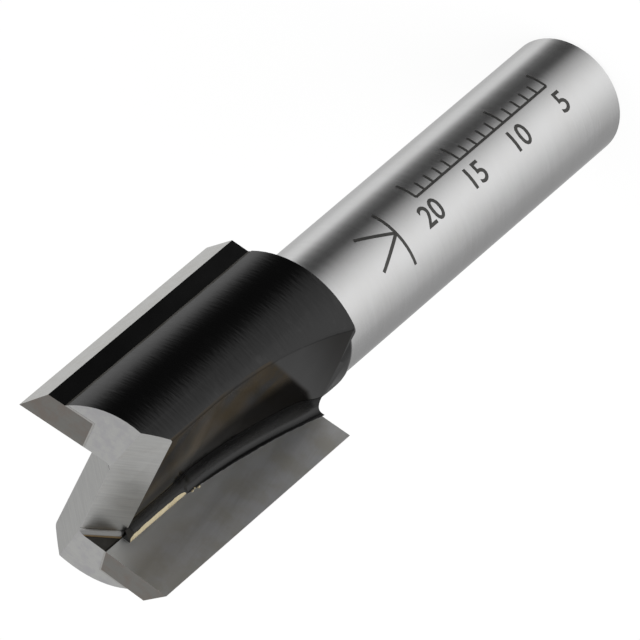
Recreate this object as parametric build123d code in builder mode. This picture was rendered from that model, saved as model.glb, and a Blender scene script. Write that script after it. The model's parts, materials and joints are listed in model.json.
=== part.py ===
from build123d import *
import os
from math import cos, radians, sin, tan

# Two-flute straight router bit, in millimetres and degrees.
# It stands on the end of its shank at the origin, with the cutting end up, at +Z.
# Tip 1 cuts at +X, and tip 2 is the same piece turned half a turn about Z.

# Turned blank, with a short neck that is rounded down to the shank
overall_length = 53.0
shank_diameter = 8.0
shank_chamfer = 0.3
neck_diameter = 8.4
neck_length = 1.6
neck_round_length = 0.45
head_diameter = 12.0
head_length = 20.2
head_edge_break = 0.12

# Carbide tips
cutting_diameter = 14.0
tip_length = 20.0
tip_width = 4.5
tip_thickness = 1.67
hook_angle = 25.0
side_relief_angle = 13.5
end_relief_angle = 9.5
end_dish_angle = 1.8

# Braze between each tip and its seat, with the bead that is squeezed out of it
braze_gap = 0.12
bead_leg = 0.6
bead_setback = 1.9
bead_length = 6.2

# Chip flutes and end gashes
flute_angle = 85.5
flute_straight_length = 6.7
flute_runout_radius = 50.0
flute_runout_sweep = 40.0
flute_edge_radius = 0.25
gash_angle = 45.0
gash_corner_radius = 0.35
gash_ridge_drop = 0.2

# Worked out from the driving dimensions
shank_radius = shank_diameter / 2
neck_radius = neck_diameter / 2
head_radius = head_diameter / 2
cutting_radius = cutting_diameter / 2
shoulder_height = overall_length - head_length
neck_bottom = shoulder_height - neck_length
tip_bottom = overall_length - tip_length
ridge_height = overall_length - gash_ridge_drop
bead_bottom = overall_length - bead_setback - bead_length
cutter_reach = cutting_diameter
tip_turns = (0, 180)

# Directions at tip 1. Inward runs along the rake face from the cutting edge to the web,
# behind points from the rake face into the tip, and relief runs back down its outer face.
web_angle = hook_angle + flute_angle
cutting_corner = Vector(cutting_radius, 0, overall_length)
inward = Vector(-cos(radians(hook_angle)), -sin(radians(hook_angle)), 0)
behind = Vector(sin(radians(hook_angle)), -cos(radians(hook_angle)), 0)
relief = Vector(-sin(radians(side_relief_angle)), -cos(radians(side_relief_angle)), 0)
up_the_web = Vector(cos(radians(web_angle)), sin(radians(web_angle)), 0)
off_the_web = Vector(sin(radians(web_angle)), -cos(radians(web_angle)), 0)
end_edge = inward - Vector(0, 0, tan(radians(end_dish_angle)))
end_fall = behind - Vector(0, 0, tan(radians(end_relief_angle)))

# Corners of the cross-section: the tip's back corner on its outer face, and the line where
# the web meets the rake face, which lies over the middle of the braze at the tip's inner end.
back_corner = cutting_corner + relief * (tip_thickness / behind.dot(relief))
flute_corner = cutting_corner + inward * (tip_width + braze_gap / 2)
web_offset = off_the_web.dot(flute_corner)

rake_plane = Plane(origin=cutting_corner, x_dir=inward, z_dir=behind)
end_plane = Plane(origin=cutting_corner, x_dir=end_edge, z_dir=end_edge.cross(end_fall))
web_profile_plane = Plane(origin=(0, 0, 0), x_dir=off_the_web, z_dir=-up_the_web)


def flat(spot):
    """The X and Y of a point, for use in a cross-section."""
    return (spot.X, spot.Y)


def from_axis(face):
    """How far the middle of a face is from the tool's axis."""
    return Vector(face.center().X, face.center().Y, 0).length


tip_section = [
    flat(cutting_corner),
    flat(cutting_corner + inward * tip_width),
    flat(cutting_corner + inward * tip_width + behind * tip_thickness),
    flat(back_corner),
]
seat_mouth = cutting_corner - inward * cutter_reach
seat_floor = cutting_corner + inward * (tip_width + braze_gap)
seat_back = behind * (tip_thickness + braze_gap)
seat_section = [
    flat(seat_mouth),
    flat(seat_floor),
    flat(seat_floor + seat_back),
    flat(seat_mouth + seat_back),
]
bead_section = [
    flat(flute_corner),
    flat(flute_corner - inward * bead_leg),
    flat(flute_corner + up_the_web * bead_leg),
]

# What the flute milling takes away: flat along the web at the cutting end, then running
# out on the cutter's radius, with its side wall in line with the rake face.
with BuildPart() as flute:
    with BuildSketch(web_profile_plane):
        with BuildLine():
            web_line = Line(
                (web_offset, overall_length + cutter_reach),
                (web_offset, overall_length - flute_straight_length),
            )
            runout = JernArc(web_line @ 1, web_line % 1, flute_runout_radius, flute_runout_sweep)
            Polyline(runout @ 1, ((runout @ 1).X, overall_length + cutter_reach), web_line @ 0)
        make_face()
    extrude(amount=cutter_reach, both=True)
    split(bisect_by=rake_plane, keep=Keep.BOTTOM)

# What the end gash takes away in front of a tip: a floor that slopes down from the ridge
# across the web, and a rounded corner against the rake face.
with BuildPart() as gash:
    with BuildSketch(web_profile_plane):
        with BuildLine():
            gash_fall = cutter_reach * tan(radians(gash_angle))
            Polyline(
                (-cutter_reach, ridge_height + gash_fall),
                (cutter_reach, ridge_height - gash_fall),
                (cutter_reach, ridge_height + gash_fall),
                close=True,
            )
        make_face()
    extrude(amount=cutter_reach, both=True)
    split(bisect_by=rake_plane, keep=Keep.BOTTOM)
    floor_face = gash.faces().sort_by(lambda face: face.normal_at().Z)[0]
    wall_face = gash.faces().filter_by(lambda face: rake_plane.contains(face.center()))[0]
    fillet(floor_face.edges() & wall_face.edges(), radius=gash_corner_radius)

# Body: the turned blank, with its tip seats, its flutes with their outer edges rounded over,
# and its end grinding
with BuildPart() as cutter_body:
    with BuildSketch(Plane.XZ):
        with BuildLine():
            Polyline(
                (neck_radius, neck_bottom + neck_round_length),
                (neck_radius, shoulder_height),
                (head_radius - head_edge_break, shoulder_height),
                (head_radius, shoulder_height + head_edge_break),
                (head_radius, overall_length),
                (0, overall_length),
                (0, 0),
                (shank_radius - shank_chamfer, 0),
                (shank_radius, shank_chamfer),
                (shank_radius, neck_bottom),
            )
            TangentArc(
                (neck_radius, neck_bottom + neck_round_length),
                (shank_radius, neck_bottom),
                tangent=(0, -1),
            )
        make_face()
    revolve(axis=Axis.Z)
    with BuildSketch(Plane.XY.offset(shoulder_height)):
        with PolarLocations(0, len(tip_turns)):
            Polygon(*seat_section, align=None)
    extrude(amount=cutter_reach + head_length, mode=Mode.SUBTRACT)
    for turn in tip_turns:
        add(flute.part, rotation=(0, 0, turn), mode=Mode.SUBTRACT)
    outer_faces = cutter_body.faces().filter_by(
        lambda face: from_axis(face) > head_radius - head_edge_break
    )
    flute_faces = cutter_body.faces().filter_by(
        lambda face: from_axis(face) < shank_radius and shoulder_height < face.center().Z < ridge_height
    )
    fillet(outer_faces.edges() & flute_faces.edges(), radius=flute_edge_radius)
    for turn in tip_turns:
        add(gash.part, rotation=(0, 0, turn), mode=Mode.SUBTRACT)
        split(bisect_by=Plane(Rot(0, 0, turn) * end_plane.location), keep=Keep.BOTTOM)

# Carbide tip: a brazed strip with its outer face and its end relieved
with BuildPart() as carbide_tip:
    with BuildSketch(Plane.XY.offset(tip_bottom)):
        Polygon(*tip_section, align=None)
    extrude(amount=tip_length)
    split(bisect_by=end_plane, keep=Keep.BOTTOM)

# Braze: the film at the back and the inner end of the tip, and the bead in the corner
# between the rake face and the web
with BuildPart() as braze:
    with BuildSketch(Plane.XY.offset(tip_bottom)):
        Polygon(*seat_section, align=None)
        Circle(head_radius, mode=Mode.INTERSECT)
        Polygon(*tip_section, align=None, mode=Mode.SUBTRACT)
    extrude(amount=tip_length)
    split(bisect_by=end_plane, keep=Keep.BOTTOM)
    with BuildSketch(Plane.XY.offset(bead_bottom)):
        Polygon(*bead_section, align=None)
    extrude(amount=bead_length)
    add(cutter_body.part, mode=Mode.SUBTRACT)

os.makedirs("parts", exist_ok=True)
cutter_body.part.label = "cutter_body"
export_step(cutter_body.part, "parts/cutter_body.step")
for number, turn in enumerate(tip_turns, start=1):
    for name, piece in (("carbide_tip", carbide_tip), ("braze", braze)):
        with BuildPart() as placed:
            add(piece.part, rotation=(0, 0, turn))
        placed.part.label = f"{name}_{number}"
        export_step(placed.part, f"parts/{name}_{number}.step")
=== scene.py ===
import json
import math

import bmesh
import bpy
from mathutils import Euler, Matrix, Vector, noise

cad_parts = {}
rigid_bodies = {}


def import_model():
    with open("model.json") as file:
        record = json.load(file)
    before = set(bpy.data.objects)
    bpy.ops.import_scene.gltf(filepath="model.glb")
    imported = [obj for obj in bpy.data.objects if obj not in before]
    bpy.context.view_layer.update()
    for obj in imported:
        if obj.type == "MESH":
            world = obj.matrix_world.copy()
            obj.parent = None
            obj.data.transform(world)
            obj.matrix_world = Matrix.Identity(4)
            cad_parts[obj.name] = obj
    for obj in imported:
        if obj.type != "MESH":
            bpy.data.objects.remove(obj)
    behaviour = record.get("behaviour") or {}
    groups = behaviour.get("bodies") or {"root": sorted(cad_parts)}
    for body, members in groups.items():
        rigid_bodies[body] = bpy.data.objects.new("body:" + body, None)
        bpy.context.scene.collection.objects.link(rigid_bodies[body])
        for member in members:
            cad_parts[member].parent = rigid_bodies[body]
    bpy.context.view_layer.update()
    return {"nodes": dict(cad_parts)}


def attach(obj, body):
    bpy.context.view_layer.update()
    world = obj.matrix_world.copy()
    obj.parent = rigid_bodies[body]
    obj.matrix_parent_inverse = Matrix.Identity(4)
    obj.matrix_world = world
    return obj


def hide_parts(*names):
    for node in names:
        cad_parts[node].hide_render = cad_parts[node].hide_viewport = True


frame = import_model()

scene = bpy.context.scene
scene.view_settings.view_transform = "Standard"
mm = 0.001
print("frame loaded:", sorted(frame["nodes"]))

# the bit's own sizes and directions, for tip 1 at +X; tip 2 is the same, half a turn round
bit = {
    "length": 53.0 * mm,
    "shankRadius": 4.0 * mm,
    "neckBottom": 31.2 * mm,
    "shoulder": 32.8 * mm,
    "cuttingRadius": 7.0 * mm,
    "hookAngle": 25.0,
    "fluteAngle": 85.5,
    "sideRelief": 13.5,
    "endRelief": 9.5,
    "endDish": 1.8,
    "footWidth": 4.56 * mm,  # cutting edge to the foot of the web
    "straightLength": 6.7 * mm,  # flute length before it runs out
    "runoutRadius": 50.0 * mm,
    "ridgeDrop": 0.2 * mm,
    "beadLeg": 0.6 * mm,
}


def flatDirection(degrees):
    return Vector((math.cos(math.radians(degrees)), math.sin(math.radians(degrees)), 0))


def outwardAt(point):
    return Vector((point.x, point.y, 0)).normalized()


zUp = Vector((0, 0, 1))
corner = Vector((bit["cuttingRadius"], 0, bit["length"]))
inward = -flatDirection(bit["hookAngle"])
behind = flatDirection(bit["hookAngle"] - 90)
upTheWeb = flatDirection(bit["hookAngle"] + bit["fluteAngle"])
offTheWeb = flatDirection(bit["hookAngle"] + bit["fluteAngle"] - 90)
outerFace = flatDirection(-bit["sideRelief"])
endEdge = inward - zUp * math.tan(math.radians(bit["endDish"]))
endFall = behind - zUp * math.tan(math.radians(bit["endRelief"]))
endFace = endEdge.cross(endFall).normalized()
gashFloor = (offTheWeb + zUp).normalized()
gashSlope = (offTheWeb - zUp).normalized()
halfTurn = {1: Matrix.Identity(4), 2: Matrix.Rotation(math.pi, 4, "Z")}


def footOfWeb(depth):
    # where the web meets the rake face, at a depth below the cutting end
    past = max(0.0, depth - bit["straightLength"])
    away = bit["runoutRadius"] - math.sqrt(bit["runoutRadius"] ** 2 - past ** 2)
    foot = corner + inward * (bit["footWidth"] - away / -offTheWeb.dot(inward))
    return Vector((foot.x, foot.y, bit["length"] - depth))


# shader groups that several materials share
def newGroup(name, inputs, outputs):
    group = bpy.data.node_groups.new(name, "ShaderNodeTree")
    for label, kind, value in inputs:
        socket = group.interface.new_socket(label, in_out="INPUT", socket_type=kind)
        if value is not None:
            socket.default_value = value
    for label, kind in outputs:
        group.interface.new_socket(label, in_out="OUTPUT", socket_type=kind)
    return group, group.nodes.new("NodeGroupInput"), group.nodes.new("NodeGroupOutput")


def addNode(tree, kind, settings=None, **values):
    node = tree.nodes.new(kind)
    for key, value in (settings or {}).items():
        setattr(node, key, value)
    for key, value in values.items():
        node.inputs[key].default_value = value
    return node


def combine(tree, operation, *values):
    # a math node on plain numbers and other nodes' outputs
    node = addNode(tree, "ShaderNodeMath", {"operation": operation})
    for slot, value in enumerate(values):
        if isinstance(value, (int, float)):
            node.inputs[slot].default_value = value
        else:
            tree.links.new(value, node.inputs[slot])
    return node.outputs[0]


def spreadValue(tree, value, low, high, start=0.0, stop=1.0, kind="LINEAR"):
    spread = addNode(tree, "ShaderNodeMapRange", {"interpolation_type": kind})
    ends = {"From Min": start, "From Max": stop, "To Min": low, "To Max": high}
    for label, level in ends.items():
        spread.inputs[label].default_value = level
    tree.links.new(value, spread.inputs["Value"])
    return spread.outputs[0]


def softStep(tree, value, start, stop):
    return spreadValue(tree, value, 0.0, 1.0, start, stop, "SMOOTHSTEP")


def makeGrindLines():
    # long thin streaks that run along the X of the vector
    group, given, made = newGroup(
        "grindLines",
        [("Vector", "NodeSocketVector", None), ("Along", "NodeSocketFloat", 300.0),
         ("Across", "NodeSocketFloat", 12000.0), ("Contrast", "NodeSocketFloat", 1.0)],
        [("Lines", "NodeSocketFloat")],
    )
    link = group.links.new
    scale = addNode(group, "ShaderNodeCombineXYZ")
    link(given.outputs["Along"], scale.inputs["X"])
    link(given.outputs["Across"], scale.inputs["Y"])
    link(given.outputs["Across"], scale.inputs["Z"])
    stretch = addNode(group, "ShaderNodeVectorMath", {"operation": "MULTIPLY"})
    link(given.outputs["Vector"], stretch.inputs[0])
    link(scale.outputs[0], stretch.inputs[1])
    streaks = addNode(group, "ShaderNodeTexNoise", Scale=1.0, Detail=3.0, Roughness=0.65)
    link(stretch.outputs[0], streaks.inputs["Vector"])
    centred = combine(group, "SUBTRACT", streaks.outputs["Fac"], 0.5)
    scaled = combine(group, "MULTIPLY_ADD", centred, given.outputs["Contrast"], 0.5)
    link(scaled, made.inputs["Lines"])
    return group


def makeSmudges():
    # soft patches of handling and coolant stain, of uneven tone in the coat, and of the painted
    # reflection's brown in the flutes
    group, given, made = newGroup(
        "stainAndReflectionPatches",
        [("Vector", "NodeSocketVector", None), ("Size", "NodeSocketFloat", 900.0),
         ("Low", "NodeSocketFloat", 0.35), ("High", "NodeSocketFloat", 0.7)],
        [("Mask", "NodeSocketFloat")],
    )
    link = group.links.new
    patches = addNode(group, "ShaderNodeTexNoise", Detail=4.0, Roughness=0.6)
    link(given.outputs["Vector"], patches.inputs["Vector"])
    link(given.outputs["Size"], patches.inputs["Scale"])
    spread = addNode(group, "ShaderNodeMapRange", {"interpolation_type": "SMOOTHSTEP"})
    link(patches.outputs["Fac"], spread.inputs["Value"])
    link(given.outputs["Low"], spread.inputs["From Min"])
    link(given.outputs["High"], spread.inputs["From Max"])
    link(spread.outputs[0], made.inputs["Mask"])
    return group


grindLines = makeGrindLines()
stainAndReflectionPatches = makeSmudges()
print("shader groups made")


# materials
def newMaterial(name):
    material = bpy.data.materials.new(name)
    material.use_nodes = True
    tree = material.node_tree
    return material, tree, tree.nodes["Principled BSDF"]


def objectVector(tree, alongX=None, across=None):
    # Object coordinates, turned so that X runs along the given direction
    coords = addNode(tree, "ShaderNodeTexCoord")
    if alongX is None:
        return coords.outputs["Object"]
    x = alongX.normalized()
    z = across.normalized()
    y = z.cross(x).normalized()
    parts = addNode(tree, "ShaderNodeCombineXYZ")
    for slot, axis in zip("XYZ", (x, y, z)):
        dot = addNode(tree, "ShaderNodeVectorMath", {"operation": "DOT_PRODUCT"})
        dot.inputs[1].default_value = axis
        tree.links.new(coords.outputs["Object"], dot.inputs[0])
        tree.links.new(dot.outputs["Value"], parts.inputs[slot])
    return parts.outputs[0]


def mixColors(tree, mask, first, second):
    # each colour is a fixed one or another node's output
    mix = addNode(tree, "ShaderNodeMix", {"data_type": "RGBA"})
    for label, color in (("A", first), ("B", second)):
        if isinstance(color, tuple):
            mix.inputs[label].default_value = (*color, 1)
        else:
            tree.links.new(color, mix.inputs[label])
    tree.links.new(mask, mix.inputs["Factor"])
    return mix.outputs["Result"]


def groupNode(tree, group, vector, **values):
    node = addNode(tree, "ShaderNodeGroup", {"node_tree": group})
    for key, value in values.items():
        node.inputs[key].default_value = value
    tree.links.new(vector, node.inputs["Vector"])
    return node.outputs[0]


def flatMask(tree, direction, start, stop):
    # 0 to 1 along a direction, between two distances from the origin
    dot = addNode(tree, "ShaderNodeVectorMath", {"operation": "DOT_PRODUCT"})
    dot.inputs[1].default_value = direction
    tree.links.new(objectVector(tree), dot.inputs[0])
    return softStep(tree, dot.outputs["Value"], start, stop)


def stainedMetal(tree, look, grain):
    # colour of bare metal, from its grain and the smudges on top
    stain = groupNode(tree, stainAndReflectionPatches, objectVector(tree), Size=look["stainSize"],
                      Low=look["stainLow"], High=look["stainHigh"])
    clean = mixColors(tree, grain, look["dark"], look["light"])
    return mixColors(tree, spreadValue(tree, stain, 0.0, look["stainAmount"]), clean, look["stain"])


def addGrain(tree, shader, look, grain):
    tree.links.new(spreadValue(tree, grain, *look["roughness"]), shader.inputs["Roughness"])
    bump = addNode(tree, "ShaderNodeBump", Strength=look["bump"], Distance=look["bumpDepth"])
    tree.links.new(grain, bump.inputs["Height"])
    tree.links.new(bump.outputs[0], shader.inputs["Normal"])


def groundMetal(name, look, alongX, across, lift=None):
    # ground metal, with its lines along one direction, and lighter towards one side
    # if a direction and two distances are given
    material, tree, shader = newMaterial(name)
    lines = groupNode(tree, grindLines, objectVector(tree, alongX, across), Along=look["along"],
                      Across=look["across"], Contrast=look["contrast"])
    color = stainedMetal(tree, look, lines)
    if lift is not None:
        amount = spreadValue(tree, flatMask(tree, *lift), 0.0, look["liftAmount"])
        color = mixColors(tree, amount, color, look["lift"])
    tree.links.new(color, shader.inputs["Base Color"])
    shader.inputs["Metallic"].default_value = look.get("metallic", 1.0)
    addGrain(tree, shader, look, lines)
    return material


def shankSteel(name, look):
    # centreless-ground steel: fine rings round the axis, glints drawn out along it
    material, tree, shader = newMaterial(name)
    ringVector = addNode(tree, "ShaderNodeMapping")
    ringVector.inputs["Rotation"].default_value = (0, math.pi / 2, 0)
    tree.links.new(objectVector(tree), ringVector.inputs["Vector"])
    turnedAxis = addNode(tree, "ShaderNodeVectorMath", {"operation": "MULTIPLY"})
    turnedAxis.inputs[1].default_value = (look["across"], look["along"], look["along"])
    tree.links.new(ringVector.outputs[0], turnedAxis.inputs[0])
    rings = addNode(tree, "ShaderNodeTexNoise", Scale=1.0, Detail=3.0, Roughness=0.6)
    tree.links.new(turnedAxis.outputs[0], rings.inputs["Vector"])
    color = stainedMetal(tree, look, rings.outputs["Fac"])
    tree.links.new(color, shader.inputs["Base Color"])
    shader.inputs["Metallic"].default_value = 1.0
    shader.inputs["Anisotropic"].default_value = look["anisotropic"]
    shader.inputs["Specular Tint"].default_value = (*look["glance"], 1)
    axis = addNode(tree, "ShaderNodeCombineXYZ", Z=1.0)
    tree.links.new(axis.outputs[0], shader.inputs["Tangent"])
    addGrain(tree, shader, look, rings.outputs["Fac"])
    return material


def heatedCoat(tree, look, tint, away, fromRake, offset):
    # colour and glance of the coat in a flute: painted shade beside the tip, then a painted
    # reflection of the tip as brown patches with a browner glance out to the reflection's edge, and
    # a clean black past that, with a brighter painted glance that fades back over a stretch
    limits = []
    for slope, reach in look["reflectionEdges"]:
        limits.append((fromRake * slope - zUp, reach + offset * slope - bit["length"]))
    before, after = look["reflectionEdgeSpread"]
    pastReflection = combine(tree, "MAXIMUM", *(flatMask(tree, along, stop - before, stop + after)
                                      for along, stop in limits))
    reflectedBrown = combine(tree, "MULTIPLY", tint, combine(tree, "SUBTRACT", 1.0, pastReflection))
    color = mixColors(tree, combine(tree, "MAXIMUM", away, pastReflection), look["paintedShade"],
                      mixColors(tree, reflectedBrown, look["color"], look["tint"]))
    near = mixColors(tree, away, look["rakeSidePaintedGlance"],
                     mixColors(tree, tint, look["glance"], look["reflectedBrownGlance"]))
    along, stop = limits[0]
    far = mixColors(tree, flatMask(tree, along, stop, stop + look["pastReflectionSoft"]),
                    look["pastReflectionGlance"], look["glance"])
    return color, mixColors(tree, pastReflection, near, far)


def blackCoat(name, look, spin=None):
    # black oxide: a dark film over turned rings on the head, or over bare milling in the flutes,
    # where painted shade, a painted reflection and a painted highlight change its colour and glance
    # with the distance from the rake face
    material, tree, shader = newMaterial(name)
    stretched = addNode(tree, "ShaderNodeVectorMath", {"operation": "MULTIPLY"})
    stretched.inputs[1].default_value = look["stretch"]
    tree.links.new(objectVector(tree), stretched.inputs[0])
    ripple = addNode(tree, "ShaderNodeTexNoise", Scale=1.0, Detail=look["detail"], Roughness=0.55)
    tree.links.new(stretched.outputs[0], ripple.inputs["Vector"])
    tint = groupNode(tree, stainAndReflectionPatches, objectVector(tree), Size=look["tintSize"],
                     Low=look["tintLow"], High=look["tintHigh"])
    if spin is None:
        color = mixColors(tree, tint, look["color"], look["tint"])
        shader.inputs["Specular Tint"].default_value = (*look["glance"], 1)
    else:
        # the band beside the rake face: painted shade in the flutes, a painted highlight fading to
        # painted shade in the corner coat
        fromRake, offset = spin @ -behind, -behind.dot(corner)
        start = look["paintedBandWidth"] + offset + look["paintedBandRise"] * bit["length"]
        away = flatMask(tree, fromRake + zUp * look["paintedBandRise"], start, start + look["paintedBandSoft"])
        if look["reflectionEdges"]:
            color, glance = heatedCoat(tree, look, tint, away, fromRake, offset)
        else:
            color = mixColors(tree, tint, look["color"], look["tint"])
            glance = mixColors(tree, away, look["rakeSidePaintedGlance"], look["glance"])
        tree.links.new(glance, shader.inputs["Specular Tint"])
    tree.links.new(color, shader.inputs["Base Color"])
    shader.inputs["Metallic"].default_value = 1.0
    addGrain(tree, shader, look, ripple.outputs["Fac"])
    return material


shankLook = {
    "dark": (0.72, 0.72, 0.72), "light": (0.83, 0.83, 0.83), "stain": (0.68, 0.665, 0.65),
    "stainSize": 350.0, "stainLow": 0.35, "stainHigh": 0.75, "stainAmount": 0.25,
    "along": 260.0, "across": 14000.0, "roughness": (0.14, 0.21), "anisotropic": 0.7,
    "bump": 0.2, "bumpDepth": 0.000006, "glance": (0.78, 0.78, 0.78),
}
gashLook = {
    "dark": (0.62, 0.62, 0.61), "light": (0.8, 0.8, 0.78), "stain": (0.55, 0.51, 0.47),
    "stainSize": 900.0, "stainLow": 0.5, "stainHigh": 0.85, "stainAmount": 0.3,
    "along": 350.0, "across": 7000.0, "contrast": 1.5, "roughness": (0.3, 0.44),
    "bump": 0.4, "bumpDepth": 0.000008,
}
carbideLook = {
    "dark": (0.5, 0.5, 0.5), "light": (0.66, 0.66, 0.665), "stain": (0.46, 0.435, 0.365),
    "stainSize": 380.0, "stainLow": 0.36, "stainHigh": 0.66, "stainAmount": 0.6,
    "along": 110.0, "across": 1900.0, "contrast": 1.7, "roughness": (0.4, 0.5),
    "metallic": 0.95, "bump": 0.15, "bumpDepth": 0.000004,
    "lineSlant": 0.19, "lift": (0.95, 0.95, 0.93), "liftAmount": 0.75,
    "liftBand": (2.6 * mm, 0.7 * mm),  # before the foot of the web
}
reliefLook = dict(carbideLook, dark=(0.6, 0.6, 0.585), light=(0.73, 0.73, 0.71),
                  stain=(0.6, 0.59, 0.56), stainSize=1500.0, along=700.0, contrast=1.2,
                  roughness=(0.3, 0.4), metallic=1.0)
tipEndLook = dict(carbideLook, dark=(0.27, 0.265, 0.25), light=(0.35, 0.34, 0.32),
                  stain=(0.3, 0.25, 0.22), stainSize=1200.0, contrast=1.2,
                  roughness=(0.3, 0.42), metallic=1.0)
turnedCoatLook = {
    "color": (0.046, 0.046, 0.046), "tint": (0.055, 0.055, 0.055), "tintSize": 1200.0,
    "tintLow": 0.5, "tintHigh": 0.8, "glance": (1.0, 1.0, 1.0),
    "stretch": (900.0, 900.0, 4000.0), "detail": 2.0, "roughness": (0.11, 0.15),
    "bump": 0.28, "bumpDepth": 0.00002,
}
fluteCoatLook = {
    # the tint and the glance beside it are the brown of the painted reflection of the tip
    "color": (0.045, 0.045, 0.045), "tint": (0.063, 0.0525, 0.04), "tintSize": 420.0,
    "tintLow": 0.33, "tintHigh": 0.64, "glance": (0.7, 0.69, 0.68),
    "reflectedBrownGlance": (0.76, 0.7, 0.62), "stretch": (900.0, 900.0, 400.0), "detail": 3.0,
    "roughness": (0.08, 0.18), "bump": 0.3, "bumpDepth": 0.00001,
    # painted shade beside the rake face: a darker colour and a duller glance over the stretch near
    # the rake face, which widens by its rise towards the shank
    "paintedShade": (0.014, 0.0135, 0.013), "rakeSidePaintedGlance": (0.53, 0.525, 0.52),
    "paintedBandWidth": 1.3 * mm, "paintedBandRise": 0.17, "paintedBandSoft": 1.9 * mm,
    # two lines where the painted reflection of the tip ends, as slopes over the web and depths at
    # the rake face
    "reflectionEdges": ((0.67, 20.05 * mm), (1.0, 20.84 * mm)), "reflectionEdgeSpread": (0.2 * mm, 0.3 * mm),
    # a brighter painted glance just past the reflection's edge, fading back over its soft stretch
    "pastReflectionGlance": (1.0, 1.0, 1.0), "pastReflectionSoft": 4.0 * mm,
}
brazeLook = {
    "dark": (0.62, 0.52, 0.32), "light": (0.86, 0.77, 0.55), "stain": (0.5, 0.4, 0.25),
    "stainSize": 4000.0, "stainLow": 0.5, "stainHigh": 0.7, "stainAmount": 0.5,
    "along": 2500.0, "across": 5000.0, "contrast": 1.5, "roughness": (0.3, 0.45),
    "bump": 0.4, "bumpDepth": 0.00002,
}
markLook = {
    "dark": (0.09, 0.088, 0.084), "light": (0.16, 0.158, 0.15), "stain": (0.08, 0.08, 0.08),
    "stainSize": 3000.0, "stainLow": 0.4, "stainHigh": 0.7, "stainAmount": 0.5,
    "along": 6000.0, "across": 6000.0, "contrast": 1.2, "roughness": (0.4, 0.5),
    "bump": 0.2, "bumpDepth": 0.000004,
}

endLook = dict(gashLook, contrast=0.5, stain=(0.6, 0.59, 0.62), stainSize=1500.0,
               stainLow=0.4, stainHigh=0.65, stainAmount=0.6)
solderEndLook = dict(gashLook, dark=(0.54, 0.53, 0.51), light=(0.7, 0.69, 0.67),
                     stain=(0.45, 0.43, 0.4))
heatLook = dict(gashLook, dark=(0.42, 0.3, 0.16), light=(0.68, 0.5, 0.3),
                stain=(0.3, 0.2, 0.12), contrast=1.0)
tipCoatLook = dict(fluteCoatLook, tint=(0.05, 0.05, 0.05), glance=(0.7, 0.7, 0.7), reflectionEdges=())
# painted light on the corner coat: a lighter colour and a bright glance near the rake face make a
# painted highlight, and the dull glance further up the web is painted shade
cornerCoatLook = dict(tipCoatLook, roughness=(0.22, 0.32), stretch=(1800.0, 1800.0, 500.0),
                      color=(0.056, 0.056, 0.056), tint=(0.056, 0.056, 0.056),
                      rakeSidePaintedGlance=(0.96, 0.96, 0.96), glance=(0.44, 0.44, 0.44),
                      paintedBandWidth=-0.68 * mm, paintedBandRise=0.04, paintedBandSoft=1.4 * mm)
beadCoatLook = dict(tipCoatLook, roughness=(0.35, 0.5), color=(0.03, 0.029, 0.028),
                    tint=(0.045, 0.042, 0.038), bump=0.6, bumpDepth=0.00003,
                    stretch=(2500.0, 2500.0, 1500.0))
scorchedLook = dict(beadCoatLook, color=(0.16, 0.155, 0.145), tint=(0.1, 0.095, 0.085))

materials = {
    "shank": shankSteel("shankSteel", shankLook),
    "turnedCoat": blackCoat("turnedCoat", turnedCoatLook),
    "tipCoat": blackCoat("tipCoat", tipCoatLook),
    "beadCoat": blackCoat("beadCoat", beadCoatLook),
    "scorched": blackCoat("scorchedSteel", scorchedLook),
    "braze": groundMetal("silverSolder", brazeLook, zUp, behind),
    "mark": groundMetal("etchedMark", markLook, zUp, behind),
}
webFoot = inward.dot(corner) + bit["footWidth"]
scoured = [webFoot - distance for distance in carbideLook["liftBand"]]
for number, turn in halfTurn.items():
    spin = turn.to_3x3()
    for zone, look in (("fluteCoat", fluteCoatLook), ("cornerCoat", cornerCoatLook)):
        materials[f"{zone}{number}"] = blackCoat(f"{zone}{number}", look, spin)
    for zone, name, look, alongX, across in (
        ("gash", "gashSteel", gashLook, gashSlope, gashFloor),
        ("heat", "heatTint", heatLook, gashSlope, gashFloor),
        ("end", "endSteel", endLook, endEdge, endFace),
        ("relief", "reliefCarbide", reliefLook, zUp, outerFace),
        ("tipEnd", "endCarbide", tipEndLook, endEdge, endFace),
        ("filmEnd", "endSolder", solderEndLook, endEdge, endFace),
    ):
        materials[f"{zone}{number}"] = groundMetal(f"{name}{number}", look,
                                                   spin @ alongX, spin @ across)
    materials[f"rake{number}"] = groundMetal(f"rakeCarbide{number}", carbideLook,
                                             zUp - spin @ inward * carbideLook["lineSlant"],
                                             spin @ behind, (spin @ inward, *scoured))
print("materials made:", len(materials))


# pieces made from the solids
def copyOf(nodeName, pieceName):
    # a merged copy of a solid's mesh, with its flat faces whole again
    piece = bpy.data.objects.new(pieceName, frame["nodes"][nodeName].data.copy())
    scene.collection.objects.link(piece)
    piece.data.materials.clear()
    work = bmesh.new()
    work.from_mesh(piece.data)
    bmesh.ops.remove_doubles(work, verts=work.verts, dist=0.0002 * mm)
    bmesh.ops.dissolve_limit(work, angle_limit=math.radians(0.4), verts=work.verts,
                             edges=work.edges)
    work.normal_update()
    return piece, work


def newPiece(name, data=None):
    piece = bpy.data.objects.new(name, data or bpy.data.meshes.new(name))
    scene.collection.objects.link(piece)
    return piece


def finishMesh(piece, work, sharpAngle):
    for face in work.faces:
        face.smooth = True
    for edge in work.edges:
        edge.smooth = (len(edge.link_faces) == 2
                       and edge.calc_face_angle(0) < math.radians(sharpAngle))
    work.to_mesh(piece.data)
    work.free()
    if "custom_normal" in piece.data.attributes:
        piece.data.attributes.remove(piece.data.attributes["custom_normal"])
    piece.data.update()


def useMaterials(piece, names):
    for name in names:
        piece.data.materials.append(materials[name])
    return {name: index for index, name in enumerate(names)}


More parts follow.
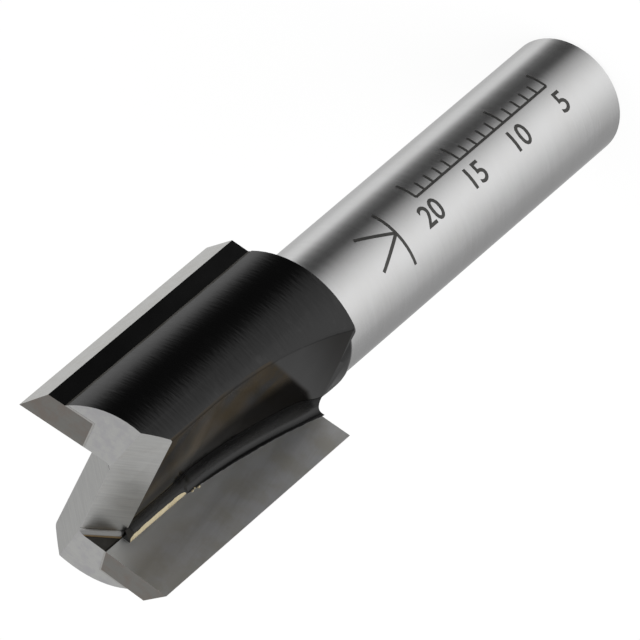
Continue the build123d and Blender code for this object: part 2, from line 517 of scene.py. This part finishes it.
def bevelRims(work, ground, rimAngle, width):
    # thin bright rims where a ground face breaks through the coat
    rims = {}
    for edge in work.edges:
        if len(edge.link_faces) != 2 or edge.calc_face_angle(0) < math.radians(rimAngle):
            continue
        sides = [face.material_index for face in edge.link_faces if face.material_index in ground]
        if len(sides) == 1:
            rims.setdefault(sides[0], []).append(edge)
    for index, edges in rims.items():
        edges = [edge for edge in edges if edge.is_valid]
        bmesh.ops.bevel(work, geom=edges, offset=width, offset_type="OFFSET", segments=1,
                        profile=0.5, affect="EDGES", material=index, clamp_overlap=True)


body = {
    "bare": ["shank"],
    "coated": ["turnedCoat", "fluteCoat1", "fluteCoat2"],
    "ground": ["gash1", "gash2", "end1", "end2"],
    "burnt": ["heat1", "heat2", "scorched"],
    "flat": 0.9995,  # how closely a ground face's normal has to match its plane's
    "gashBottom": 47.0 * mm,
    "shankRoom": 0.02 * mm,
    "shoulderRoom": 0.2 * mm,
    "rimAngle": 30,
    "rimWidth": 0.04 * mm,
    "sharpAngle": 24,
}
bodyPiece, work = copyOf("cutter_body", "cutter_body_look")
slots = useMaterials(bodyPiece, body["bare"] + body["coated"] + body["ground"] + body["burnt"])
for face in work.faces:
    middle, normal = face.calc_center_median(), face.normal
    zone = "fluteCoat1" if offTheWeb.dot(middle) > 0 else "fluteCoat2"
    if middle.z < bit["neckBottom"] + body["shankRoom"]:
        zone = "shank"
    elif (middle.z < bit["shoulder"] + body["shoulderRoom"]
            or abs(normal.z) < 0.01 and normal.dot(outwardAt(middle)) > 0.99):
        zone = "turnedCoat"
    high = middle.z > body["gashBottom"]
    for number, turn in halfTurn.items():
        spin = turn.to_3x3()
        toRake, toFloor = normal.dot(spin @ -behind), normal.dot(spin @ gashFloor)
        cornerAxis = (spin @ gashFloor).cross(spin @ behind)
        if normal.dot(spin @ endFace) > body["flat"]:
            zone = f"end{number}"
        elif toFloor > body["flat"]:
            zone = f"gash{number}"
        elif high and toRake > 0.999:
            zone = "scorched"
        elif high and abs(normal.dot(cornerAxis)) < 0.02 and toFloor > 0.05 and toRake > 0.02:
            # the gash's rounded corner, with heat colour along its foot
            zone = f"heat{number}" if toRake > 0.9 else f"gash{number}"
    face.material_index = slots[zone]
bevelRims(work, {slots[name] for name in body["ground"]}, body["rimAngle"], body["rimWidth"])
finishMesh(bodyPiece, work, body["sharpAngle"])
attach(bodyPiece, "root")
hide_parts("cutter_body")
print("body:", len(bodyPiece.data.polygons), "faces")

tip = {"flat": 0.999, "sharpAngle": 24}
for number, turn in halfTurn.items():
    spin = turn.to_3x3()
    piece, work = copyOf(f"carbide_tip_{number}", f"carbide_tip_look_{number}")
    slots = useMaterials(piece, [f"rake{number}", f"relief{number}", f"tipEnd{number}", "tipCoat"])
    for face in work.faces:
        zone = "tipCoat"
        if face.normal.dot(spin @ -behind) > tip["flat"]:
            zone = f"rake{number}"
        elif face.normal.dot(spin @ outerFace) > tip["flat"]:
            zone = f"relief{number}"
        elif face.normal.dot(spin @ endFace) > tip["flat"]:
            zone = f"tipEnd{number}"
        face.material_index = slots[zone]
    finishMesh(piece, work, tip["sharpAngle"])
    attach(piece, "root")
    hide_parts(f"carbide_tip_{number}")
print("tips done")

# coat left on the rake face beside the web, and in the corner between the two
cornerCoat = {
    "from": 0.15 * mm,
    "stations": 170,
    "steps": 14,
    # depths below the cutting end, and how far the coat reaches over the rake face there
    "laps": ((0.0, 0.55), (8.0, 0.6), (9.2, 0.68), (11.5, 0.75), (13.7, 0.79), (17.3, 0.75),
             (20.2, 0.7)),
    # the hollow in three spots, as distances up the web and out along the rake face, at depths
    # below the cutting end
    "hollows": (
        (0.0, (0.3, 0.31), (0.61, 0.0), (1.4, 0.0)),  # on top of the solder bead
        (5.5, (0.3, 0.31), (0.61, 0.0), (1.4, 0.0)),
        (7.9, (0.25, 0.36), (0.55, 0.0), (1.6, 0.0)),
        (8.15, (0.0, 0.63), (0.04, 0.04), (1.65, 0.0)),  # over the bead's end
        (9.8, (0.0, 0.64), (0.0, 0.0), (1.7, 0.0)),  # in the open corner
        (17.7, (0.0, 0.64), (0.0, 0.0), (1.7, 0.0)),
        (20.2, (0.0, 0.5), (0.0, 0.0), (1.1, 0.0)),  # at the shoulder
    ),
    "skin": 0.012 * mm,
    "proud": 0.018 * mm,
    "root": 0.05 * mm,
    "lip": 0.03 * mm,
    "lipSink": 0.004 * mm,
    "ragged": 0.035 * mm,
    "waves": (2200, 7000, 0.5, 3),
    "endRoom": 0.01 * mm,
    "sharpAngle": 50,
}


def easedShare(value, start, stop):
    t = min(1.0, max(0.0, (value - start) / (stop - start)))
    return t * t * (3 - 2 * t)


def wander(depth, waves, seed):
    # unevenness of a worn edge: a long wave, and a finer one with its own weight and shift
    coarse, fine, weight, shift = waves
    return (noise.noise(Vector((depth * coarse, seed, 0)))
            + weight * noise.noise(Vector((depth * fine, seed, shift))))


def coatLap(depth):
    laps = cornerCoat["laps"]
    for (z0, lap0), (z1, lap1) in zip(laps, laps[1:]):
        if depth / mm <= z1:
            return (lap0 + (lap1 - lap0) * easedShare(depth / mm, z0, z1)) * mm
    return laps[-1][1] * mm


def hollowSpots(depth):
    hollows = cornerCoat["hollows"]
    for (z0, *here), (z1, *there) in zip(hollows, hollows[1:]):
        if depth <= z1 * mm or z1 == hollows[-1][0]:
            t = easedShare(depth / mm, z0, z1)
            return [Vector(a).lerp(Vector(b), t) * mm for a, b in zip(here, there)]


def coatSection(depth, seed):
    # section of the coat: a skin on the rake face, then a hollow corner that runs out up the web
    foot, root = footOfWeb(depth), cornerCoat["root"]
    lap = coatLap(depth) + cornerCoat["ragged"] * wander(depth, cornerCoat["waves"], seed)
    first, middle, last = hollowSpots(depth)
    skin = -behind * cornerCoat["skin"]
    inner = foot - inward * (lap - cornerCoat["lip"])
    points = [foot - inward * lap + behind * cornerCoat["lipSink"], inner + skin]
    for step in range(cornerCoat["steps"] + 1):
        t = step / cornerCoat["steps"]
        spot = first * (1 - t) ** 2 + middle * 2 * t * (1 - t) + last * t * t
        skinHere = skin * (1 - t) + offTheWeb * cornerCoat["proud"] * t
        points.append(foot + upTheWeb * spot.x - inward * spot.y + skinHere)
    return points + [points[-1] - offTheWeb * root,
                     foot + (inward * 0.5 + behind).normalized() * root, inner + behind * root]


ridge = Vector((0, 0, bit["length"] - bit["ridgeDrop"] - cornerCoat["endRoom"]))
for number, turn in halfTurn.items():
    work = bmesh.new()
    rings = []
    start, stop = cornerCoat["from"], bit["length"] - bit["shoulder"]
    for station in range(cornerCoat["stations"] + 1):
        depth = start + (stop - start) * station / cornerCoat["stations"]
        rings.append([work.verts.new(point) for point in coatSection(depth, number)])
    for here, there in zip(rings, rings[1:]):
        count = len(here)
        for i in range(count):
            j = (i + 1) % count
            work.faces.new((here[i], here[j], there[j], there[i]))
    work.faces.new(rings[0])
    work.faces.new(rings[-1])
    for point, direction in ((ridge, gashFloor),
                             (corner - endFace * cornerCoat["endRoom"], endFace)):
        cut = bmesh.ops.bisect_plane(
            work, geom=work.verts[:] + work.edges[:] + work.faces[:],
            plane_co=point, plane_no=direction, clear_outer=True, dist=0.0001 * mm,
        )
        rim = [item for item in cut["geom_cut"] if isinstance(item, bmesh.types.BMEdge)]
        bmesh.ops.holes_fill(work, edges=rim, sides=0)
    bmesh.ops.recalc_face_normals(work, faces=work.faces)
    bmesh.ops.transform(work, matrix=turn, verts=work.verts)
    piece = newPiece(f"corner_coat_{number}")
    piece.data.materials.append(materials[f"cornerCoat{number}"])
    finishMesh(piece, work, cornerCoat["sharpAngle"])
    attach(piece, "root")
print("corner coat done")

# solder: the film behind the tip, and the strip along the bead where the coat is ground off
solderStrip = {
    "from": 1.95 * mm,
    "to": 7.98 * mm,
    "width": 0.31 * mm,
    "proud": 0.02 * mm,
    "stations": 110,
    "lanes": 6,
    "ragged": 0.04 * mm,
    "waves": (1500, 5000, 0.6, 5),
    "lumps": 0.014 * mm,
    "lumpWave": 4200,
    "seed": 7,
    "edgeSink": 0.004 * mm,
    "leastReach": 0.004 * mm,
    "specks": ((8.45, 0.66, 0.17), (8.75, 0.6, 0.13), (9.05, 0.7, 0.2)),  # depth, lap, size
    "speckLift": 0.01 * mm,
    "beadTop": 1.5 * mm,  # below the cutting end
    "sharpAngle": 40,
}


def addSolderStrip(work, seed):
    foot, leg, lanes = footOfWeb(0), bit["beadLeg"], solderStrip["lanes"]
    low = foot - inward * leg
    slope = (foot + upTheWeb * leg - low).normalized()
    outward = Vector((-slope.y, slope.x, 0))
    outward = outward if outward.dot(-behind) > 0 else -outward
    rows = []
    for station in range(solderStrip["stations"] + 1):
        t = station / solderStrip["stations"]
        depth = solderStrip["from"] + (solderStrip["to"] - solderStrip["from"]) * t
        taper = math.sqrt(max(0.0, 1 - abs(2 * t - 1) ** 14)) * (0.85 + 0.15 * min(1.0, t * 2))
        ragged = solderStrip["ragged"] * wander(depth, solderStrip["waves"], seed)
        row = []
        for lane in range(lanes + 1):
            share = lane / lanes
            arch = math.sin(math.pi * share)
            reach = solderStrip["width"] * taper * share + ragged * (0.3 + 0.7 * share)
            lump = noise.noise(Vector((depth * solderStrip["lumpWave"], lane * 0.8, seed)))
            height = solderStrip["proud"] * arch ** 0.5 * min(1.0, 3 * taper)
            height += solderStrip["lumps"] * lump * arch
            if lane in (0, lanes):
                height -= solderStrip["edgeSink"]
            point = low + slope * max(reach, solderStrip["leastReach"]) + outward * height
            row.append(work.verts.new((point.x, point.y, bit["length"] - depth)))
        rows.append(row)
    for here, there in zip(rows, rows[1:]):
        for i in range(lanes):
            work.faces.new((here[i], here[i + 1], there[i + 1], there[i]))


def addSpecks(work):
    for depth, lap, size in solderStrip["specks"]:
        at = footOfWeb(depth * mm) - inward * lap * mm - behind * solderStrip["speckLift"]
        sphere = bmesh.ops.create_icosphere(work, subdivisions=2, radius=size * mm / 2)
        bmesh.ops.transform(work, matrix=Matrix.Translation(at) @ Matrix.Diagonal((1, 1, 1.5, 1)),
                            verts=sphere["verts"])


for number, turn in halfTurn.items():
    spin = turn.to_3x3()
    piece, work = copyOf(f"braze_{number}", f"braze_look_{number}")
    slots = useMaterials(piece, ["braze", f"filmEnd{number}", "beadCoat", "tipCoat", "scorched"])
    for face in work.faces:
        middle = face.calc_center_median()
        if face.normal.dot(spin @ endFace) > 0.999:
            face.material_index = slots[f"filmEnd{number}"]
        elif (face.normal.dot(spin @ -behind) > 0.3
                and middle.z < bit["length"] - solderStrip["beadTop"]):
            face.material_index = slots["beadCoat"]
        elif face.normal.dot(outwardAt(middle)) > 0.95:
            face.material_index = slots["scorched"]
        else:
            face.material_index = slots["tipCoat"]
    strip = bmesh.new()
    addSolderStrip(strip, solderStrip["seed"] + number)
    bmesh.ops.recalc_face_normals(strip, faces=strip.faces)
    if sum(face.normal.dot(-behind) for face in strip.faces) < 0:
        bmesh.ops.reverse_faces(strip, faces=strip.faces)
    addSpecks(strip)
    bmesh.ops.transform(strip, matrix=turn, verts=strip.verts)
    stripMesh = bpy.data.meshes.new(f"solder_strip_{number}")
    strip.to_mesh(stripMesh)
    strip.free()
    work.from_mesh(stripMesh)
    finishMesh(piece, work, solderStrip["sharpAngle"])
    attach(piece, "root")
    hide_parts(f"braze_{number}")
print("solder done")

# etched marks on the shank: an insertion line and a plain scale
marks = {
    "radius": bit["shankRadius"] + 0.01 * mm,
    "lineWidth": 0.17 * mm,
    "insertionWidth": 0.221 * mm,
    "insertionHeight": 23.5 * mm,
    "insertionFrom": -113.0,
    "insertionTo": -54.0,
    "arrowLength": 2.85 * mm,
    "arrowHalf": 1.33 * mm,
    "arrowAngle": -80.5,
    "scaleFrom": 5,
    "scaleTo": 20,
    "scaleAngle": -68.0,
    "pitch": 1.0 * mm,
    "numberEvery": 5,
    "shortTick": 0.8 * mm,
    "longTick": 1.45 * mm,
    "digitHeight": 1.45 * mm,
    "digitShare": 0.7,  # how much of the font's size a digit fills
    "digitWeight": 0.02 * mm,
    "digitAngle": -97.0,
    "bendStep": 0.18 * mm,
}


def makeTickTree():
    tree = bpy.data.node_groups.new("scaleTicks", "GeometryNodeTree")
    tree.is_modifier = True
    for label, kind in (("Count", "Int"), ("Pitch", "Float"), ("Width", "Float"),
                        ("Short", "Float"), ("Long", "Float"), ("Every", "Int"),
                        ("Material", "Material")):
        tree.interface.new_socket(label, in_out="INPUT", socket_type=f"NodeSocket{kind}")
    tree.interface.new_socket("Geometry", in_out="OUTPUT", socket_type="NodeSocketGeometry")
    given, made = tree.nodes.new("NodeGroupInput"), tree.nodes.new("NodeGroupOutput")
    link = tree.links.new
    offset = addNode(tree, "ShaderNodeCombineXYZ")
    link(given.outputs["Pitch"], offset.inputs["X"])
    line = addNode(tree, "GeometryNodeMeshLine")
    link(given.outputs["Count"], line.inputs["Count"])
    link(offset.outputs[0], line.inputs["Offset"])
    index = addNode(tree, "GeometryNodeInputIndex")
    rest = combine(tree, "MODULO", index.outputs[0], given.outputs["Every"])
    isLong = addNode(tree, "FunctionNodeCompare", {"data_type": "FLOAT", "operation": "LESS_THAN"})
    isLong.inputs["B"].default_value = 0.5
    link(rest, isLong.inputs["A"])
    length = addNode(tree, "GeometryNodeSwitch", {"input_type": "FLOAT"})
    link(isLong.outputs[0], length.inputs["Switch"])
    link(given.outputs["Short"], length.inputs["False"])
    link(given.outputs["Long"], length.inputs["True"])
    size = addNode(tree, "ShaderNodeCombineXYZ", Z=1.0)
    link(given.outputs["Width"], size.inputs["X"])
    link(length.outputs[0], size.inputs["Y"])
    tick = addNode(tree, "GeometryNodeMeshGrid",
                   **{"Size X": 1.0, "Size Y": 1.0, "Vertices X": 2, "Vertices Y": 9})
    raised = addNode(tree, "GeometryNodeTransform")
    raised.inputs["Translation"].default_value = (0, 0.5, 0)
    link(tick.outputs["Mesh"], raised.inputs["Geometry"])
    placed = addNode(tree, "GeometryNodeInstanceOnPoints")
    link(line.outputs["Mesh"], placed.inputs["Points"])
    link(raised.outputs[0], placed.inputs["Instance"])
    link(size.outputs[0], placed.inputs["Scale"])
    real = addNode(tree, "GeometryNodeRealizeInstances")
    link(placed.outputs[0], real.inputs[0])
    painted = addNode(tree, "GeometryNodeSetMaterial")
    link(real.outputs[0], painted.inputs["Geometry"])
    link(given.outputs["Material"], painted.inputs["Material"])
    link(painted.outputs[0], made.inputs["Geometry"])
    return tree


def plainMesh(carrier):
    # the carrier's evaluated shape as a plain mesh, with the carrier taken away again
    bpy.context.view_layer.update()
    graph = bpy.context.evaluated_depsgraph_get()
    mesh = bpy.data.meshes.new_from_object(carrier.evaluated_get(graph))
    bpy.data.objects.remove(carrier)
    return mesh


def flatTicks():
    carrier = newPiece("tickCarrier")
    modifier = carrier.modifiers.new("scaleTicks", "NODES")
    modifier.node_group = makeTickTree()
    values = {
        "Count": marks["scaleTo"] - marks["scaleFrom"] + 1, "Pitch": marks["pitch"],
        "Width": marks["lineWidth"], "Short": marks["shortTick"], "Long": marks["longTick"],
        "Every": marks["numberEvery"], "Material": materials["mark"],
    }
    for item in modifier.node_group.interface.items_tree:
        if item.in_out == "INPUT":
            modifier[item.identifier] = values[item.name]
    return plainMesh(carrier)


def flatDigits(text):
    curve = bpy.data.curves.new("digits", "FONT")
    curve.body = text
    curve.size = marks["digitHeight"] / marks["digitShare"]
    curve.align_x = "CENTER"
    curve.resolution_u = 4
    curve.offset = marks["digitWeight"]
    return plainMesh(newPiece("digitCarrier", curve))


def flatStrip(start, stop, width, steps):
    work = bmesh.new()
    a, b = Vector((*start, 0)), Vector((*stop, 0))
    along = (b - a).normalized()
    side = Vector((-along.y, along.x, 0)) * width / 2
    rows = []
    for step in range(steps + 1):
        point = a.lerp(b, step / steps)
        rows.append((work.verts.new(point - side), work.verts.new(point + side)))
    for here, there in zip(rows, rows[1:]):
        work.faces.new((here[0], there[0], there[1], here[1]))
    mesh = bpy.data.meshes.new("strip")
    work.to_mesh(mesh)
    work.free()
    return mesh


def bendRoundShank(mesh, height, angle):
    # wraps a flat mark on the shank: X runs down to the shank's end, Y round it
    work = bmesh.new()
    work.from_mesh(mesh)
    level, top = min(v.co.y for v in work.verts), max(v.co.y for v in work.verts)
    while level < top:
        bmesh.ops.bisect_plane(
            work, geom=work.verts[:] + work.edges[:] + work.faces[:],
            plane_co=(0, level, 0), plane_no=(0, 1, 0), dist=0.00001 * mm,
        )
        level += marks["bendStep"]
    for vert in work.verts:
        turn = math.radians(angle) + vert.co.y / bit["shankRadius"]
        x, y = marks["radius"] * math.cos(turn), marks["radius"] * math.sin(turn)
        vert.co = (x, y, height - vert.co.x)
    return work


markMesh = bmesh.new()


def addMark(mesh, height, angle):
    work = bendRoundShank(mesh, height, angle)
    work.normal_update()
    for face in work.faces:
        if face.normal.dot(outwardAt(face.calc_center_median())) < 0:
            face.normal_flip()
    bent = bpy.data.meshes.new("bent")
    work.to_mesh(bent)
    work.free()
    markMesh.from_mesh(bent)


scaleTop, scaleAngle = marks["scaleTo"] * mm, marks["scaleAngle"]
scaleLength = (marks["scaleTo"] - marks["scaleFrom"]) * mm
addMark(flatTicks(), scaleTop, scaleAngle)
addMark(flatStrip((0, 0), (scaleLength, 0), marks["lineWidth"], 1), scaleTop, scaleAngle)
for value in range(marks["scaleFrom"], marks["scaleTo"] + 1, marks["numberEvery"]):
    addMark(flatDigits(str(value)), value * mm, marks["digitAngle"])
arc = math.radians(marks["insertionTo"] - marks["insertionFrom"]) * bit["shankRadius"]
addMark(flatStrip((0, -arc / 2), (0, arc / 2), marks["insertionWidth"], 24),
        marks["insertionHeight"], (marks["insertionFrom"] + marks["insertionTo"]) / 2)
for side in (-1, 1):
    addMark(flatStrip((-marks["arrowLength"], side * marks["arrowHalf"]), (0, 0),
                      marks["insertionWidth"], 16),
            marks["insertionHeight"], marks["arrowAngle"])
markPiece = newPiece("shank_marks")
markMesh.to_mesh(markPiece.data)
markMesh.free()
markPiece.data.materials.append(materials["mark"])
for face in markPiece.data.polygons:
    face.use_smooth = True
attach(markPiece, "root")
print("shank marks:", len(markPiece.data.polygons), "faces")

# studio: floor, light tent, lamps
studio = {
    "floorSize": 6.0,
    "floorColor": 0.92,
    "floorGlow": 0.9,  # share of plain white in what the camera sees of the floor
    "tentRadius": 1.6,
    "wallLean": 1.5,  # the cloths hang aslant, so rings show as streaks along their edges
    "wallSway": 2.0,  # and more so at the height that the standing faces mirror
    "swayHeight": -44,
    "swayReach": 6,
    "wallSplit": (-0.4, 0.1),  # heights between which the lower walls give way to the upper
    "roofEdge": (0.7, 0.95),
    "roofColor": (0.5, 0.5, 0.5),
    "ambient": 0.8,
    "lampAim": Vector((0, 0, 0.03)),
    # light level of the tent's walls round the bit, by direction: below the horizon and above
    "wallsBelow": (
        (-180, 0.42), (-150, 0.68), (-125, 0.94), (-104, 0.98), (-92, 0.88), (-80, 0.73),
        (-66, 0.6), (-56, 0.45), (-47, 0.16), (-40, 0.06), (-10, 0.045), (0, 0.15), (8, 0.45),
        (16, 0.78), (34, 0.8), (50, 0.7), (60, 0.67), (90, 0.66), (112, 0.45), (135, 0.37),
        (160, 0.36), (180, 0.42),
    ),
    "wallsAbove": (
        (-180, 0.5), (-120, 0.85), (-70, 0.75), (-38, 0.25), (0, 0.22), (30, 0.42), (90, 0.42),
        (155, 0.46), (180, 0.5),
    ),
}


def wallColor(tree, around, stops):
    node = addNode(tree, "ShaderNodeValToRGB")
    ramp = node.color_ramp
    ramp.interpolation = "LINEAR"
    while len(ramp.elements) > 1:
        ramp.elements.remove(ramp.elements[-1])
    for index, (degrees, level) in enumerate(stops):
        position = (degrees + 180) / 360
        element = ramp.elements[0] if index == 0 else ramp.elements.new(position)
        element.position = position
        element.color = (level, level, level, 1)
    tree.links.new(around, node.inputs[0])
    return node.outputs[0]


def makeTent():
    work = bmesh.new()
    bmesh.ops.create_uvsphere(work, u_segments=48, v_segments=24, radius=studio["tentRadius"])
    bmesh.ops.reverse_faces(work, faces=work.faces)
    tent = newPiece("lightTent")
    work.to_mesh(tent.data)
    work.free()
    material = bpy.data.materials.new("tentCloth")
    material.use_nodes = True
    tree = material.node_tree
    tree.nodes.clear()
    link = tree.links.new
    unit = addNode(tree, "ShaderNodeVectorMath", {"operation": "NORMALIZE"})
    link(objectVector(tree), unit.inputs[0])
    parts = addNode(tree, "ShaderNodeSeparateXYZ")
    link(unit.outputs[0], parts.inputs[0])
    around = combine(tree, "ARCTAN2", parts.outputs["Y"], parts.outputs["X"])
    rise = combine(tree, "ARCSINE", parts.outputs["Z"])
    level, reach = studio["swayHeight"], studio["swayReach"]
    lean = combine(tree, "MULTIPLY_ADD", rise, studio["wallLean"],
                   -studio["wallLean"] * math.radians(level))
    most = math.radians(reach) * studio["wallSway"]
    sway = spreadValue(tree, rise, -most, most, math.radians(level - reach),
                       math.radians(level + reach))
    leaning = combine(tree, "ADD", around, combine(tree, "ADD", lean, sway))
    share = spreadValue(tree, leaning, 0.0, 1.0, -math.pi, math.pi)
    walls = mixColors(tree, softStep(tree, parts.outputs["Z"], *studio["wallSplit"]),
                      wallColor(tree, share, studio["wallsBelow"]),
                      wallColor(tree, share, studio["wallsAbove"]))
    roof = mixColors(tree, softStep(tree, parts.outputs["Z"], *studio["roofEdge"]), walls,
                     studio["roofColor"])
    glow = addNode(tree, "ShaderNodeEmission", Strength=1.0)
    link(roof, glow.inputs["Color"])
    out = addNode(tree, "ShaderNodeOutputMaterial")
    link(glow.outputs[0], out.inputs["Surface"])
    tent.data.materials.append(material)
    tent.visible_camera = False
    tent.visible_diffuse = False
    tent.visible_shadow = False


def blendSeen(tree, share, first, second, surface):
    # the second shader for rays from the camera, off a mirror or through glass, and else the first
    path = addNode(tree, "ShaderNodeLightPath").outputs
    seen = combine(tree, "MAXIMUM", path["Is Camera Ray"], path["Is Glossy Ray"])
    seen = combine(tree, "MAXIMUM", seen, path["Is Transmission Ray"])
    blend = addNode(tree, "ShaderNodeMixShader")
    tree.links.new(combine(tree, "MULTIPLY", seen, share), blend.inputs[0])
    tree.links.new(first.outputs[0], blend.inputs[1])
    tree.links.new(second.outputs[0], blend.inputs[2])
    tree.links.new(blend.outputs[0], surface)


def makeFloor():
    half = studio["floorSize"] / 2
    corners = [(-half, -half, 0), (half, -half, 0), (half, half, 0), (-half, half, 0)]
    floor = newPiece("floor")
    floor.data.from_pydata(corners, [], [(0, 1, 2, 3)])
    material, tree, shader = newMaterial("floorPaper")
    level = studio["floorColor"]
    shader.inputs["Base Color"].default_value = (level, level, level, 1)
    shader.inputs["Roughness"].default_value = 1.0
    shader.inputs["Specular IOR Level"].default_value = 0.0
    white = addNode(tree, "ShaderNodeEmission", Strength=1.0, Color=(1, 1, 1, 1))
    blendSeen(tree, studio["floorGlow"], shader, white,
              tree.nodes["Material Output"].inputs["Surface"])
    floor.data.materials.append(material)
    floor.visible_glossy = False


def makeWorld():
    world = bpy.data.worlds.new("studioWorld")
    scene.world = world
    world.use_nodes = True
    tree = world.node_tree
    tree.nodes.clear()
    ambient = addNode(tree, "ShaderNodeBackground", Strength=studio["ambient"], Color=(1, 1, 1, 1))
    white = addNode(tree, "ShaderNodeBackground", Strength=1.0, Color=(1, 1, 1, 1))
    out = addNode(tree, "ShaderNodeOutputWorld")
    blendSeen(tree, 1.0, ambient, white, out.inputs["Surface"])


lamps = [
    {"name": "keyBox", "at": (-0.35, -0.45, 0.7), "size": 0.5, "power": 4.0},
    {"name": "fillBox", "at": (0.6, 0.2, 0.6), "size": 0.6, "power": 1.5},
]


def makeLamp(lamp):
    light = bpy.data.lights.new(lamp["name"], "AREA")
    light.shape = "SQUARE"
    light.size = lamp["size"]
    light.energy = lamp["power"]
    box = newPiece(lamp["name"], light)
    box.location = lamp["at"]
    toBit = studio["lampAim"] - Vector(lamp["at"])
    box.rotation_euler = toBit.to_track_quat("-Z", "Y").to_euler()
    box.visible_glossy = False


makeTent()
makeFloor()
makeWorld()
for lamp in lamps:
    makeLamp(lamp)
print("studio set")

view = {
    "at": Vector((34.543, -440.856, 476.745)) * mm,
    "turn": (-32.763, 32.226, -135.791),
    "lens": 595.69,
    "sensor": 36,
    "clip": (0.01, 20),
}
camera = newPiece("camera", bpy.data.cameras.new("camera"))
camera.location = view["at"]
camera.rotation_euler = Euler([math.radians(angle) for angle in view["turn"]], "XYZ")
camera.data.sensor_width = view["sensor"]
camera.data.lens = view["lens"]
camera.data.clip_start, camera.data.clip_end = view["clip"]
scene.camera = camera
print("camera set")
